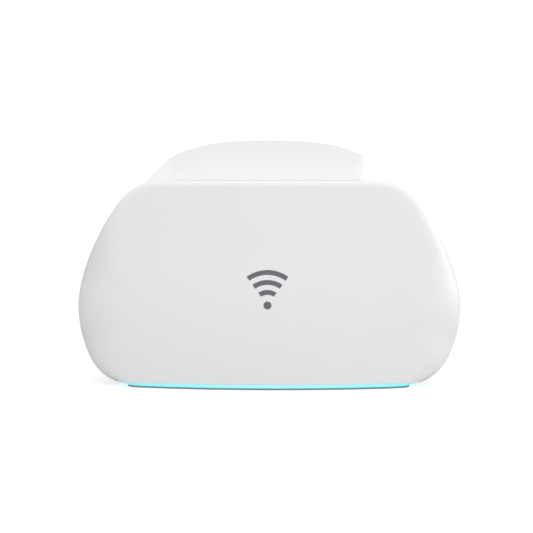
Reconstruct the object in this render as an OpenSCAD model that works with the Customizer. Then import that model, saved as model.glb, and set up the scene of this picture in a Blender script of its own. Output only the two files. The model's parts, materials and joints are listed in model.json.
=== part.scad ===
// Wireless router: a wide curved front cover, a domed rear housing behind it, a light ring and a
// rubber foot. Millimetres, +Z up, front towards -Y, origin at the centre of the footprint.

/* [Body] */
// Width of the front cover at its widest
body_w = 200; // [192:1:210]
// Height of the dome's crest
dome_h = 126.8; // [125:0.1:130]
// Height of the ledge where the dome rises behind the front cover
ledge_h = 106; // [104:0.5:108]
// Front face of the cover at the middle, behind the origin
face_y = -42.7; // [-43:0.1:-42]
// Flat back face of the rear housing
back_y = 41.6; // [41:0.1:42]
// Radius of the front face's curve, seen from above
face_r = 265; // [240:1:320]
// How far the face draws in towards the foot
face_tuck = 5; // [3:0.5:7]
// Wall thickness of the cover and the housing
wall = 2.2; // [2:0.1:2.6]

/* [Foot and light] */
// Thickness of the rubber foot
foot_t = 0.9; // [0.8:0.1:1.2]
// Height where the light ring ends and the shells begin
ring_top = 2.7; // [2.6:0.1:3]
// Width of the light ring, seen from above
ring_w = 7; // [6.5:0.1:7.2]
// Number of LEDs along the front
led_count = 12; // [6:1:14]

/* [Dome] */
// Half width of the dome's flat front
dome_flat = 47.5; // [46:0.5:54]
// Front of the dome
dome_y = -13; // [-15:0.5:-11]
// Slope of the dome's flanks, seen from above
flank_slope = 0.95; // [0.7:0.05:1.1]

/* [Board] */
// Underside of the main board
board_z = 10; // [9.5:0.1:10.5]
// Thickness of the main board
board_t = 1.6; // [1.2:0.1:1.8]
// Half width of the main board
board_hw = 61; // [60:0.5:62]

/* [Ports] */
// Height of the buttons' centres
button_z = 17; // [16.5:0.1:17.5]
// Travel of the power button
power_travel = 2; // [1:0.1:2]
// Number of fins on the heat sink
fin_count = 10; // [6:1:12]
// Columns of ventilation slots in the back panel
vent_columns = 13; // [9:1:13]

/* [Hidden] */
antenna_ids = [1, 2, 3, 4];

half_w = body_w / 2;
board_top = board_z + board_t;
eps = 0.01;

// Colours
white = [0.93, 0.93, 0.93];
cyan = [0.45, 0.93, 0.97];
dark = [0.25, 0.25, 0.27];
board_green = [0.05, 0.30, 0.18];
metal = [0.72, 0.73, 0.75];
black = [0.08, 0.08, 0.09];
gold = [0.80, 0.65, 0.30];

// ---- Outlines, seen from the front: points [x, z] on the right-hand half, from the foot upwards ----

function bez(p, t) =
    pow(1 - t, 3) * p[0] + 3 * pow(1 - t, 2) * t * p[1] + 3 * (1 - t) * t * t * p[2] + pow(t, 3) * p[3];
// n points along each curve of a chain, and its last point
function chain(curves, n) =
    concat([for (c = curves, i = [0:n - 1]) bez(c, i / n)], [curves[len(curves) - 1][3]]);
// A straight stretch whose points crowd its start, where the cover meets the dome's corner
function line_curve(a, b) = [a, a + (b - a) * 0.02, a + (b - a) * 0.35, b];

steps = 8;
widest_z = 40.5;
cover_foot = [half_w - 20.6, ring_top];
cover_shoulder = [78.5, 91.8];
cover_corner = [54, ledge_h];
cover_half = chain([
    [cover_foot, [half_w - 6, 8.4], [half_w, 24], [half_w, widest_z]],
    [[half_w, widest_z], [half_w, 58], [87.8, 79.4], cover_shoulder],
    [cover_shoulder, [71.8, 101.6], [63.2, ledge_h], cover_corner],
    line_curve(cover_corner, [0, ledge_h])], steps);

housing_w = half_w - 3.5;
housing_foot = [78.5, ring_top];
housing_shoulder = [76, 93];
housing_sides = [
    [housing_foot, [92.5, 8], [housing_w, 24], [housing_w, 41]],
    [[housing_w, 41], [housing_w, 57], [84.6, 80.8], housing_shoulder]];
dome_corner = [49.6, dome_h - 8.2];
housing_half = chain(concat(housing_sides, [
    [housing_shoulder, [70, 101.5], [56, dome_h - 11], dome_corner],
    [dome_corner, [38, dome_h - 2], [23, dome_h], [0, dome_h]]]), steps);
// The parting line: the housing's outline up its sides, then over to the ledge and straight across
parting_corner = [56, ledge_h];
parting_half = chain(concat(housing_sides, [
    [housing_shoulder, [70.5, 100.5], [65, ledge_h], parting_corner],
    line_curve(parting_corner, [0, ledge_h])]), steps);
// Outline of the flat back panel
panel_widest = [68, 32];
panel_shoulder = [52, 86];
panel_corner = [20, 99];
panel_half = chain([
    [[61, ring_top], [66, 10], [panel_widest[0], 20], panel_widest],
    [panel_widest, [panel_widest[0], 52], [62, 74], panel_shoulder],
    [panel_shoulder, [46, 93.2], [34, 98.5], panel_corner],
    [panel_corner, [14, 99.2], [7, 99.2], [0, 99.2]]], steps);

half_n = len(cover_half);

// ---- Surfaces ----

// Smooth ramp: 0 before x0, slope 1 after it, w wide at the bend
function ramp(x, x0, w) = w * ln(1 + exp((x - x0) / w));
function mix(a, b, t) = a + (b - a) * t;
function ease(t) = let (u = min(max(t, 0), 1)) u * u * (3 - 2 * u);
function unit(v) = v / norm(v);

// Front face of the cover at x, z
function face(x, z) =
    face_y + face_r - sqrt(face_r * face_r - x * x) + face_tuck * pow(max(0, 1 - z / 55), 2);
// Plan line where the cover meets the housing, and where the dome's front stands
function rim(x) =
    dome_y + flank_slope * ramp(abs(x), dome_flat + 1.5, 1.2)
    - (flank_slope - 0.3) * ramp(abs(x), 72, 4);

// Inward normals of a half outline, level at the foot and straight down at the top
function normals(h) = [for (i = [0:len(h) - 1])
    i == 0 ? [-1, 0] : i == len(h) - 1 ? [0, -1]
    : let (d = unit(h[i + 1] - h[i - 1])) [-d[1], d[0]]];
// Wall thickness as a step inwards; at the foot it runs level, along the slanted wall's cut
function thick(h, t) = let (n = normals(h), s = unit(h[1] - h[0]))
    [for (i = [0:len(h) - 1]) i == 0 ? [-t / max(s[1], 0.4), 0] : n[i] * t];
// Direction of the rounding: level at the foot, square to the outline 20 mm up
function round_dirs(h) = let (n = normals(h))
    [for (i = [0:len(h) - 1]) unit(mix([-1, 0.001], n[i], ease((h[i][1] - ring_top) / 20)))];
// Radius of the cover's edge: small at the top, wide down the sides, small at the foot
function edge_r(z) = mix(mix(9, 25, ease((z - ring_top) / 22)), 3, ease((z - 52) / 46));

// The right half of an outline and its mirror image, as one closed outline
function mirrored(h) = concat(h, [for (i = [len(h) - 1:-1:0]) if (h[i][0] > eps) [-h[i][0], h[i][1]]]);
// Full open outline from the right foot over the top to the left foot, from a half of 3-D points
function both(h) = concat(h, [for (i = [len(h) - 2:-1:0]) [-h[i][0], h[i][1], h[i][2]]]);

// Rings of the cover's skin, each a list of [x, y, z]: in is 0 outside and the wall inside
face_rings = 4;
edge_rings = 5;
side_rings = 3;
pole = [0, ring_top];
function cover_rings(in) = let (
        out = thick(cover_half, in), o = [for (i = [0:half_n - 1]) cover_half[i] + out[i]],
        pin = thick(parting_half, in), p = [for (i = [0:half_n - 1]) parting_half[i] + pin[i]],
        d = round_dirs(cover_half),
        r = [for (i = [0:half_n - 1]) max(edge_r(cover_half[i][1]) - in, 0.8)],
        q = [for (i = [0:half_n - 1]) o[i] + d[i] * r[i]])
    concat(
        [for (k = [1:face_rings]) both([for (i = [0:half_n - 1])
            let (c = mix(pole, q[i], k / (face_rings + 1))) [c[0], face(c[0], c[1]) + in, c[1]]])],
        [for (k = [0:edge_rings]) let (a = 90 * (1 - k / edge_rings)) both([for (i = [0:half_n - 1])
            let (c = o[i] + d[i] * r[i] * (1 - cos(a)))
            [c[0], face(c[0], c[1]) + in + 0.6 * r[i] * (1 - sin(a)), c[1]]])],
        [for (k = [1:side_rings]) let (v = k / side_rings) both([for (i = [0:half_n - 1])
            let (c = mix(o[i], p[i], v * v), y0 = face(o[i][0], o[i][1]) + in + 0.6 * r[i])
            [c[0], mix(y0, rim(parting_half[i][0]) - 0.3, v), c[1]]])]);

// Rings of the housing's skin, from the parting line round to the back panel's opening
back_power = 2.4;
back_rings = 7;
back_lip = 3;
panel_gap = 0.3;
function housing_rings(in) = let (
        step = thick(housing_half, in), o = [for (i = [0:half_n - 1]) housing_half[i] + step[i]],
        n = normals(panel_half), e = [for (i = [0:half_n - 1]) panel_half[i] - n[i] * back_lip])
    concat(
        [for (k = [0:back_rings]) let (
            a = 90 * k / back_rings,
            v = pow(sin(a), 2 / back_power), t = 1 - pow(cos(a), 2 / back_power))
            both([for (i = [0:half_n - 1]) let (c = mix(o[i], e[i], t))
                [c[0], mix(rim(housing_half[i][0]), back_y - in, v), c[1]]])],
        [both([for (i = [0:half_n - 1]) let (c = panel_half[i] - n[i] * panel_gap)
            [c[0], back_y - in, c[1]]])]);

// Closed solid between an outer and an inner skin of rings; with a pole, the first rings close on a point
module skin(outer, inner, out_pole, in_pole) {
    n = len(outer[0]);
    k = len(outer);
    capped = !is_undef(out_pole);
    points = concat([for (r = outer) each r], [for (r = inner) each r],
        capped ? [out_pole, in_pole] : []);
    function o(r, i) = r * n + i;
    function s(r, i) = (k + r) * n + i;
    op = 2 * k * n;
    sp = op + 1;
    faces = concat(
        [for (r = [0:k - 2], i = [0:n - 2]) each [
            [o(r, i), o(r, i + 1), o(r + 1, i + 1)], [o(r, i), o(r + 1, i + 1), o(r + 1, i)],
            [s(r, i), s(r + 1, i + 1), s(r, i + 1)], [s(r, i), s(r + 1, i), s(r + 1, i + 1)]]],
        [for (i = [0:n - 2]) each [
            [o(k - 1, i), o(k - 1, i + 1), s(k - 1, i + 1)], [o(k - 1, i), s(k - 1, i + 1), s(k - 1, i)]]],
        [for (r = [0:k - 2]) each [
            [o(r, 0), o(r + 1, 0), s(r + 1, 0)], [o(r, 0), s(r + 1, 0), s(r, 0)],
            [o(r, n - 1), s(r + 1, n - 1), o(r + 1, n - 1)], [o(r, n - 1), s(r, n - 1), s(r + 1, n - 1)]]],
        capped
        ? concat(
            [for (i = [0:n - 2]) each [[op, o(0, i + 1), o(0, i)], [sp, s(0, i), s(0, i + 1)]]],
            [[op, o(0, 0), s(0, 0)], [op, s(0, 0), sp],
             [op, s(0, n - 1), o(0, n - 1)], [op, sp, s(0, n - 1)]])
        : [for (i = [0:n - 2]) each [
            [o(0, i + 1), o(0, i), s(0, i)], [o(0, i + 1), s(0, i), s(0, i + 1)]]]);
    polyhedron(points = points, faces = faces);
}

// ---- Footprint, seen from above: points [x, y] round the foot, and inset copies of it ----

cover_skin = cover_rings(0);
housing_skin = housing_rings(0);
// The right-hand edge from the front middle to the back middle, without the points that crowd its corner
foot_half = concat(
    [for (i = [0:4]) [i * 14, face(i * 14, ring_top)]],
    [for (k = [face_rings, face_rings + 3, face_rings + edge_rings + 1, face_rings + edge_rings + side_rings])
        [cover_skin[k][0][0], cover_skin[k][0][1]]],
    [for (k = [1:back_rings]) [housing_skin[k][0][0], housing_skin[k][0][1]]],
    [[40, back_y], [20, back_y], [0, back_y]]);
function plan_normals(h) = [for (i = [0:len(h) - 1])
    i == 0 ? [0, 1] : i == len(h) - 1 ? [0, -1]
    : let (d = unit(h[i + 1] - h[i - 1])) [-d[1], d[0]]];
foot_normals = plan_normals(foot_half);
// Inset grows from in to in + slant at the flanks, as the body curves under
function footprint(in, slant = 0) = let (
        h = [for (i = [0:len(foot_half) - 1])
            foot_half[i] + foot_normals[i] * (in + slant * pow(abs(foot_normals[i][0]), 1.5))])
    concat(h, [for (i = [len(h) - 2:-1:1]) [-h[i][0], h[i][1]]]);
module plan_slab(in, z0, z1) {
    translate([0, 0, z0]) linear_extrude(z1 - z0) polygon(footprint(in));
}

// ---- Places of the parts ----

cover_boss = [68, -8];
housing_boss = [67, 17];
frame_post = [67, 4.5];
board_holes = [[57, 12], [52, -17]];
led_span = 128;
jack_w = 16;
jack_h = 13.4;
jack_d = 21;
lan_x = [-20, -3, 14];
wan_x = 33;
dc_x = -49;
power_x = -36;
pair_x = 47.5;
reset_x = 54.5;
dc_z = board_top + 6;
heat_centre = [-6, -7];
heat_size = [60, 34];
antenna_places = [[-52, 66, 24], [-21, 84, 0], [21, 84, 0], [52, 66, -24]]; // x, z, lean
connector_places = [[-29, 14.5], [-11.5, 14.5], [5.5, 14.5], [23.5, 14.5]];
frame_front = 4;
module at_both(p) {
    for (s = [-1, 1]) translate([s * p[0], p[1], 0]) children();
}
module rod(r, z0, z1) {
    translate([0, 0, z0]) cylinder(r = r, h = z1 - z0, $fn = 48);
}
// A cylinder along +Y from y0 to y1
module rod_y(r, x, z, y0, y1) {
    translate([x, y0, z]) rotate([-90, 0, 0]) cylinder(r = r, h = y1 - y0, $fn = 48);
}
module box(x0, x1, y0, y1, z0, z1) {
    translate([x0, y0, z0]) cube([x1 - x0, y1 - y0, z1 - z0]);
}

// ---- Casing ----

// Screw boss with a pilot hole from below
module boss(z1) {
    difference() {
        rod(3.6, 5.2, z1);
        rod(1.25, 5.1, z1 - 3);
    }
}

module front_cover() {
    color(white) union() {
        skin(cover_rings(0), cover_rings(wall),
            [0, face(0, ring_top), ring_top], [0, face(0, ring_top) + wall, ring_top]);
        at_both(cover_boss) boss(24);
        // Ribs that tie each boss to the side wall
        for (s = [-1, 1]) translate([s * 79, cover_boss[1], 16]) cube([16, 1.8, 16], center = true);
    }
}

// The dome's front: an upright wall along the rim, cut to the arch
module dome_wall() {
    line = [for (x = [-66:3:66]) [x, rim(x) + 0.02]];
    arch = [for (p = housing_half) if (p[1] > 90) p - [0, 1]];
    intersection() {
        translate([0, 0, ledge_h - wall]) linear_extrude(40)
            polygon(concat(line, [for (i = [len(line) - 1:-1:0]) line[i] + [0, wall]]));
        translate([0, 30, 0]) rotate([90, 0, 0]) linear_extrude(60) polygon(mirrored(arch));
    }
}

module rear_housing() {
    color(white) union() {
        skin(housing_rings(0), housing_rings(wall));
        dome_wall();
        at_both(housing_boss) boss(24);
        for (s = [-1, 1]) translate([s * 78, housing_boss[1], 17]) cube([16, 1.8, 14], center = true);
    }
}

panel_t = 2;
port_top = 31;
// A band of the back panel between two heights
module panel_band(z0, z1) {
    intersection() {
        translate([0, back_y, 0]) rotate([90, 0, 0]) linear_extrude(panel_t) polygon(mirrored(
            concat([panel_half[0] + [0, panel_gap]], [for (i = [1:half_n - 1]) panel_half[i]])));
        box(-half_w, half_w, back_y - panel_t - 1, back_y + 1, z0, z1);
    }
}
module panel_cut(x0, x1, z0, z1) {
    box(x0, x1, back_y - panel_t - 1, back_y + 1, z0, z1);
}
module panel_hole(r, x, z) {
    rod_y(r, x, z, back_y - panel_t - 1, back_y + 1);
}

slot_w = 2.2;
slot_pitch = 7;
vent_low = 40;
vent_high = 96;
module vent_panel() {
    color(white) difference() {
        panel_band(port_top + panel_gap, ledge_h);
        // Slots, shorter towards the sides
        for (c = [0:vent_columns - 1]) let (
                x = (c - (vent_columns - 1) / 2) * slot_pitch,
                top = vent_high - 0.012 * x * x) {
            panel_cut(x - slot_w / 2, x + slot_w / 2, vent_low, top);
            panel_hole(slot_w / 2, x, vent_low);
            panel_hole(slot_w / 2, x, top);
        }
    }
}

// Gaps round the sockets, and the pinhole over the reset switch
socket_gap = 0.3;
reset_hole_r = 0.8;
module port_plate() {
    color(white) difference() {
        panel_band(0, port_top);
        for (x = concat(lan_x, [wan_x])) panel_cut(x - jack_w / 2 - socket_gap, x + jack_w / 2 + socket_gap,
            board_top - socket_gap, board_top + jack_h + socket_gap);
        panel_cut(dc_x - dc_body_r - socket_gap, dc_x + dc_body_r + socket_gap,
            board_top - socket_gap, dc_z + dc_body_r + 0.7);
        panel_hole(power_r + 0.15, power_x, button_z);
        panel_hole(pair_r + 0.15, pair_x, button_z);
        panel_hole(reset_hole_r, reset_x, button_z);
    }
}

module base_plate() {
    color(dark) difference() {
        union() {
            plan_slab(ring_w + 0.2, foot_t, 5);
            for (p = board_holes) at_both(p) rod(3, 4, board_z);
            at_both(frame_post) rod(3.2, 4, 12);
            // Pads that carry the LED board
            for (x = [-45, -15, 15, 45]) translate([x, face(x, ring_top) + 8.3, 5.1])
                cube([4, 2.4, 1], center = true);
            // Stiffening ribs
            for (y = [-12, 4, 20]) box(-48, 48, y - 0.6, y + 0.6, 4.5, 7);
        }
        for (p = board_holes) at_both(p) rod(1.25, 5.5, board_z + 1);
        at_both(frame_post) rod(1.25, 6, 13);
        // Countersunk holes for the screws that hold the shells
        for (p = [cover_boss, housing_boss]) at_both(p) {
            rod(1.7, 0, 6);
            rod(3.2, 0, foot_t + 2);
        }
    }
}

// Closed sweep of a four-cornered section: loops are the outer top, outer foot, inner foot and inner top
module band(loops) {
    n = len(loops[0]);
    polyhedron(points = [for (l = loops) each l],
        faces = [for (l = [0:3], i = [0:n - 1]) let (m = (l + 1) % 4, j = (i + 1) % n) each [
            [l * n + i, l * n + j, m * n + j], [l * n + i, m * n + j, m * n + i]]]);
}
function at_height(loop, z) = [for (p = loop) [p[0], p[1], z]];
// A curved strip that follows the front, from in0 to in1 behind it
module front_strip(hw, in0, in1, z0, z1) {
    line = [for (x = [-hw:hw / 12:hw + eps]) [x, face(x, ring_top)]];
    translate([0, 0, z0]) linear_extrude(z1 - z0) polygon(concat([for (p = line) p + [0, in0]],
        [for (i = [len(line) - 1:-1:0]) line[i] + [0, in1]]));
}
ring_under = 5.5;
module light_guide() {
    color(cyan) union() {
        band([at_height(footprint(0.1), ring_top), at_height(footprint(0.4, ring_under), foot_t),
              at_height(footprint(ring_w), foot_t), at_height(footprint(ring_w), ring_top)]);
        // Upstand that takes in the LEDs' light, inside the cover's wall
        front_strip(68, wall + 0.5, ring_w - 0.1, ring_top - 0.5, 4.6);
    }
}

module foot_pad() {
    color(dark) linear_extrude(foot_t) polygon(footprint(0.6, ring_under));
}

// Mark of three arcs over a dot, in the middle of the front face
emblem_z = 43.5;
emblem_angle = 36;
emblem_t = 0.3;
module emblem() {
    wedge = [sin(emblem_angle), cos(emblem_angle)] * 30;
    color(dark) translate([0, face_y, emblem_z]) rotate([90, 0, 0]) linear_extrude(emblem_t) {
        circle(r = 2, $fn = 48);
        for (r = [6.6, 11.6, 16.6]) intersection() {
            difference() {
                circle(r = r + 1.2, $fn = 96);
                circle(r = r - 1.2, $fn = 96);
            }
            polygon([[0, 0], [-wedge[0], wedge[1]], [0, 40], wedge]);
        }
    }
}

// ---- Electronics ----

module main_board() {
    front = [for (x = [-board_hw:board_hw / 6:board_hw]) [x, face(x, board_z) + 12]];
    color(board_green) difference() {
        translate([0, 0, board_z]) linear_extrude(board_t)
            polygon(concat(front, [[board_hw, 36], [board_hw - 2, 38], [2 - board_hw, 38], [-board_hw, 36]]));
        for (p = board_holes) at_both(p) rod(1.6, board_z - 1, board_top + 1);
    }
}

module led_board() {
    color(white) front_strip(70, wall + 1, wall + 7.3, 5.6, 6.6);
}

led_size = [3.5, 2.8, 0.8];
module status_leds() {
    color([1, 0.95, 0.7]) for (i = [0:led_count - 1]) let (
            x = (i / (led_count - 1) - 0.5) * led_span,
            a = asin(x / face_r))
        translate([x, face(x, ring_top) + 4.6, 5.6 - led_size[2] / 2]) rotate(a)
            cube(led_size, center = true);
}

// A shield can: a folded sheet box with a raised lid edge
module can(x, y, w, d, h) {
    box(x - w / 2, x + w / 2, y - d / 2, y + d / 2, board_top, board_top + h - 0.3);
    box(x - w / 2 + 0.5, x + w / 2 - 0.5, y - d / 2 + 0.5, y + d / 2 - 0.5, board_top, board_top + h);
}
shield_h = 2.6;
module processor_shield() {
    color(metal) can(heat_centre[0], heat_centre[1], 30, 26, shield_h);
}
module radio_shields() {
    color(metal) for (s = [-1, 1]) can(s * 46, -4, 16, 20, 2.4);
}
pad_top = board_top + shield_h + 1;
module thermal_pad() {
    color([0.55, 0.65, 0.8]) translate([heat_centre[0], heat_centre[1], pad_top - 0.5])
        cube([24, 20, 1], center = true);
}
fin_h = 9;
module heat_sink() {
    w = heat_size[0];
    d = heat_size[1];
    color(metal) translate([heat_centre[0] - w / 2, heat_centre[1] - d / 2, pad_top]) {
        cube([w, d, 2.2]);
        for (i = [0:fin_count - 1]) translate([i * (w - 1.2) / (fin_count - 1), 0, 2])
            cube([1.2, d, fin_h + 0.2]);
    }
}

module chip(x, y, w, d, h) {
    box(x - w / 2, x + w / 2, y - d / 2, y + d / 2, board_top, board_top + h);
}
module board_chips() {
    color(black) {
        for (x = [28, 32.5]) chip(x, 3, 3.6, 5, 1);
        chip(30, -10, 6, 8, 1.1);
        chip(-44, 11, 5, 4, 1.2);
        chip(53, 24, 5, 5, 1);
        chip(47, 16, 4, 6, 1.2);
    }
}
module power_capacitors() {
    color([0.2, 0.2, 0.25]) for (c = [[-50, 21, 3.2, 9], [-42.6, 16, 2.6, 7.5]])
        translate([c[0], c[1], 0]) rod(c[2], board_top, board_top + c[3]);
}
module power_inductors() {
    color([0.3, 0.3, 0.32]) for (y = [-3, 4]) {
        chip(-57.5, y, 5.4, 5.4, 2.6);
        translate([-57.5, y, 0]) rod(2.2, board_top + 2.5, board_top + 3);
    }
}
module lan_transformers() {
    color(black) for (x = concat(lan_x, [wan_x])) chip(x, 15, 13, 7.4, 4.6);
}

// RJ45 socket: the latch notch is below, the contacts hang from the ceiling
socket_d = 14;
module jack(x) {
    y0 = back_y - socket_d;
    difference() {
        box(x - jack_w / 2, x + jack_w / 2, back_y - jack_d, back_y, board_top, board_top + jack_h);
        box(x - 5.95, x + 5.95, y0, back_y + 1, board_top + 4.2, board_top + 11.2);
        box(x - 3.2, x + 3.2, y0, back_y + 1, board_top + 2.8, board_top + 5);
        box(x - 1.7, x + 1.7, y0, back_y + 1, board_top + 1.6, board_top + 5);
        for (s = [-1, 1])
            box(x + s * 6 - 1.4, x + s * 6 + 1.4, back_y - 2, back_y + 1, board_top + 11.6, board_top + 13);
    }
}
module jack_pins(x) {
    for (i = [0:7]) translate([x + (i - 3.5) * 1.02, back_y - socket_d + 0.02, board_top + 9.3])
        rotate([12, 0, 0]) cube([0.45, 7, 0.35]);
}
module wan_jack() {
    color([0.15, 0.35, 0.7]) jack(wan_x);
}
module lan_jacks() {
    color([0.85, 0.7, 0.15]) for (x = lan_x) jack(x);
}
module wan_contacts() {
    color(gold) jack_pins(wan_x);
}
module lan_contacts() {
    color(gold) for (x = lan_x) jack_pins(x);
}
module jack_leds() {
    color([0.4, 0.8, 0.4]) for (x = concat(lan_x, [wan_x]), s = [-1, 1])
        box(x + s * 6 - 1.3, x + s * 6 + 1.3, back_y - 1.9, back_y - 0.1, board_top + 11.7, board_top + 12.9);
}

// Barrel inlet: a 6 mm bore round a 2.1 mm pin
dc_bore_r = 3;
dc_pin_r = 1.05;
dc_depth = 10.5;
dc_body_r = 4.6;
// The pin's root, set in the body
dc_root_r = 0.8;
module dc_jack() {
    color(black) difference() {
        union() {
            box(dc_x - dc_body_r, dc_x + dc_body_r, back_y - 14, back_y, board_top, board_top + 9);
            rod_y(dc_body_r, dc_x, dc_z, back_y - 14, back_y);
        }
        rod_y(dc_bore_r, dc_x, dc_z, back_y - dc_depth, back_y + 1);
        rod_y(dc_root_r, dc_x, dc_z, back_y - 13, back_y - dc_depth + 1);
    }
}
module dc_contacts() {
    color(metal) {
        rod_y(dc_pin_r, dc_x, dc_z, back_y - dc_depth, back_y - 1);
        rod_y(dc_root_r, dc_x, dc_z, back_y - 12.9, back_y - dc_depth + eps);
        // Leaf that bears on the plug's sleeve
        translate([dc_x - 1, back_y - dc_depth + 0.1, dc_z - dc_bore_r + 0.15]) cube([2, 6, 0.2]);
    }
}

module power_switch() {
    color(black) difference() {
        box(power_x - 4.2, power_x + 4.2, 20, 33, board_top, board_top + 8.6);
        box(power_x - 1.8, power_x + 1.8, 26.5, 34, button_z - 1.8, button_z + 1.8);
    }
}
module power_plunger() {
    color(white) box(power_x - 1.6, power_x + 1.6, 29.5, 37, button_z - 1.6, button_z + 1.6);
}
power_r = 4.4;
module power_button() {
    color(dark) difference() {
        union() {
            rod_y(power_r, power_x, button_z, 39, 43);
            rod_y(5.2, power_x, button_z, 38.5, 39.5);
            rod_y(3.2, power_x, button_z, 35.4, 39);
        }
        box(power_x - 1.62, power_x + 1.62, 35, 37.05, button_z - 1.62, button_z + 1.62);
        // Finger dish
        translate([power_x, 43 + 11.4, button_z]) sphere(r = 12, $fn = 64);
    }
}

// Tactile switch with a round plunger hole
module tact(x, hole_r) {
    difference() {
        box(x - 3.1, x + 3.1, 31.6, 35.2, board_top, board_top + 8.4);
        rod_y(hole_r, x, button_z, 34, 36);
    }
}
module pair_switch() {
    color(metal) tact(pair_x, 1.8);
}
module pair_plunger() {
    color(black) rod_y(1.7, pair_x, button_z, 34.6, 36.8);
}
pair_r = 2.8;
module pair_button() {
    color(dark) union() {
        rod_y(pair_r, pair_x, button_z, 39, 42.5);
        rod_y(3.6, pair_x, button_z, 38.7, 39.5);
        rod_y(2, pair_x, button_z, 36.85, 39);
    }
}
module reset_switch() {
    color(metal) tact(reset_x, 1.3);
}
module reset_plunger() {
    color(black) rod_y(1.2, reset_x, button_z, 34.5, 37.4);
}

// ---- Antennas ----

frame_t = 2;
frame_half = [[62, 12.2], [72, 12.2], [78, 38], [74, 70], [64, 90], [50, 106], [30, 114], [0, 116]];
module antenna_frame() {
    y1 = frame_front + frame_t;
    color([0.85, 0.86, 0.87]) difference() {
        union() {
            translate([0, y1, 0]) rotate([90, 0, 0]) linear_extrude(frame_t)
                polygon(mirrored(frame_half));
            at_both(frame_post) rod(3.6, 12.2, 14.4);
        }
        // The space above the board, and windows between the antennas
        box(-62, 62, 0, 10, 10, 34);
        box(-40, 40, 0, 10, 33, 56);
        for (s = [-1, 1]) box(s * 36.5 - 5, s * 36.5 + 5, 0, 10, 62, 98);
        box(-9, 9, 0, 10, 62, 106);
        at_both(frame_post) rod(1.6, 10, 13.4);
        at_both(frame_post) rod(2.9, 13.2, 20);
    }
}

antenna_size = [13, 0.8, 46];
module antenna(n) {
    p = antenna_places[n - 1];
    color(board_green) translate([p[0], frame_front - antenna_size[1] / 2 - 0.02, p[1]])
        rotate([0, p[2], 0]) cube(antenna_size, center = true);
}

// Cable routes from each antenna's foot to its connector on the board: [x, y, z]
cable_d = 1.4;
cable_routes = [
    [[-59, 2.4, 49], [-54, 1.6, 44], [-44, 1.8, 40], [-37, 5, 38], [-33, 10, 30], [-29.5, 13.8, 20],
        [-29, 14.5, 15.5], [-29, 14.5, 13.1]],
    [[-21, 2.4, 62], [-20.5, 1.8, 57], [-19, 4, 51], [-16, 9, 41], [-13, 13, 28], [-11.8, 14.2, 20],
        [-11.5, 14.5, 15.5], [-11.5, 14.5, 13.1]],
    [[21, 2.4, 62], [20.5, 1.8, 57], [18, 4, 51], [13, 9, 41], [8, 13, 28], [5.8, 14.2, 20],
        [5.5, 14.5, 15.5], [5.5, 14.5, 13.1]],
    [[59, 2.4, 49], [54, 1.6, 44], [44, 1.8, 40], [37, 5, 38], [29, 10, 30], [24, 13.8, 20],
        [23.5, 14.5, 15.5], [23.5, 14.5, 13.1]]];
// A smooth curve through the points, m steps between each two
function through(p, m) = let (n = len(p) - 1)
    concat([for (i = [0:n - 1], j = [0:m - 1]) let (
            t = j / m, a = p[max(i - 1, 0)], b = p[i], c = p[i + 1], d = p[min(i + 2, n)])
        0.5 * (2 * b + (c - a) * t + (2 * a - 5 * b + 4 * c - d) * t * t
            + (3 * b - 3 * c + d - a) * t * t * t)],
        [p[n]]);
module tube(path, d, sides = 8) {
    n = len(path);
    rings = [for (i = [0:n - 1]) let (
            t = unit(path[min(i + 1, n - 1)] - path[max(i - 1, 0)]),
            u = unit(cross([0, 1, 0.2], t)), v = cross(t, u))
        for (a = [0:sides - 1]) path[i] + d / 2 * (u * cos(360 * a / sides) + v * sin(360 * a / sides))];
    polyhedron(points = rings, faces = concat(
        [[for (a = [0:sides - 1]) a], [for (a = [sides - 1:-1:0]) (n - 1) * sides + a]],
        [for (i = [0:n - 2], a = [0:sides - 1]) let (b = (a + 1) % sides)
            [i * sides + a, (i + 1) * sides + a, (i + 1) * sides + b, i * sides + b]]));
}
module antenna_cable(n) {
    color(black) tube(through(cable_routes[n - 1], 3), cable_d);
}
module rf_connectors() {
    color(gold) for (p = connector_places) translate([p[0], p[1], 0]) rod(1.3, board_top, 13);
}

// ---- Fasteners ----

// Pan-head screw, head down or up, with a cross recess
module screw(head_z, tip_z, head_r, shank_r) {
    up = tip_z > head_z ? 1 : -1;
    difference() {
        union() {
            rod(head_r, min(head_z, head_z - up * 1.6), max(head_z, head_z - up * 1.6));
            rod(shank_r, min(head_z, tip_z), max(head_z, tip_z));
        }
        for (a = [0, 90]) translate([0, 0, head_z - up * 1.5]) rotate(a)
            cube([head_r * 1.2, 0.7, 1.4], center = true);
    }
}
module cover_screws() {
    color(metal) for (p = [cover_boss, housing_boss]) at_both(p) screw(foot_t + 2, 14, 2.9, 1.2);
}
module board_screws() {
    color(metal) for (p = board_holes) at_both(p) screw(board_top, 6, 2.7, 1.2);
}
module frame_screws() {
    color(metal) at_both(frame_post) screw(13.2, 6.5, 2.7, 1.2);
}

front_cover();
rear_housing();
vent_panel();
port_plate();
base_plate();
light_guide();
foot_pad();
emblem();
main_board();
led_board();
status_leds();
processor_shield();
radio_shields();
thermal_pad();
heat_sink();
board_chips();
power_capacitors();
power_inductors();
lan_transformers();
wan_jack();
lan_jacks();
wan_contacts();
lan_contacts();
jack_leds();
dc_jack();
dc_contacts();
power_switch();
power_plunger();
power_button();
pair_switch();
pair_plunger();
pair_button();
reset_switch();
reset_plunger();
antenna_frame();
rf_connectors();
cover_screws();
board_screws();
frame_screws();
for (n = antenna_ids) {
    antenna(n);
    antenna_cable(n);
}
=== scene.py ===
"""A white upright wireless router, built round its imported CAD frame. Lengths below are in millimetres
until mesh() turns them into metres; +Z is up and the front faces -Y, as in the frame."""

import json
import math

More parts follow.
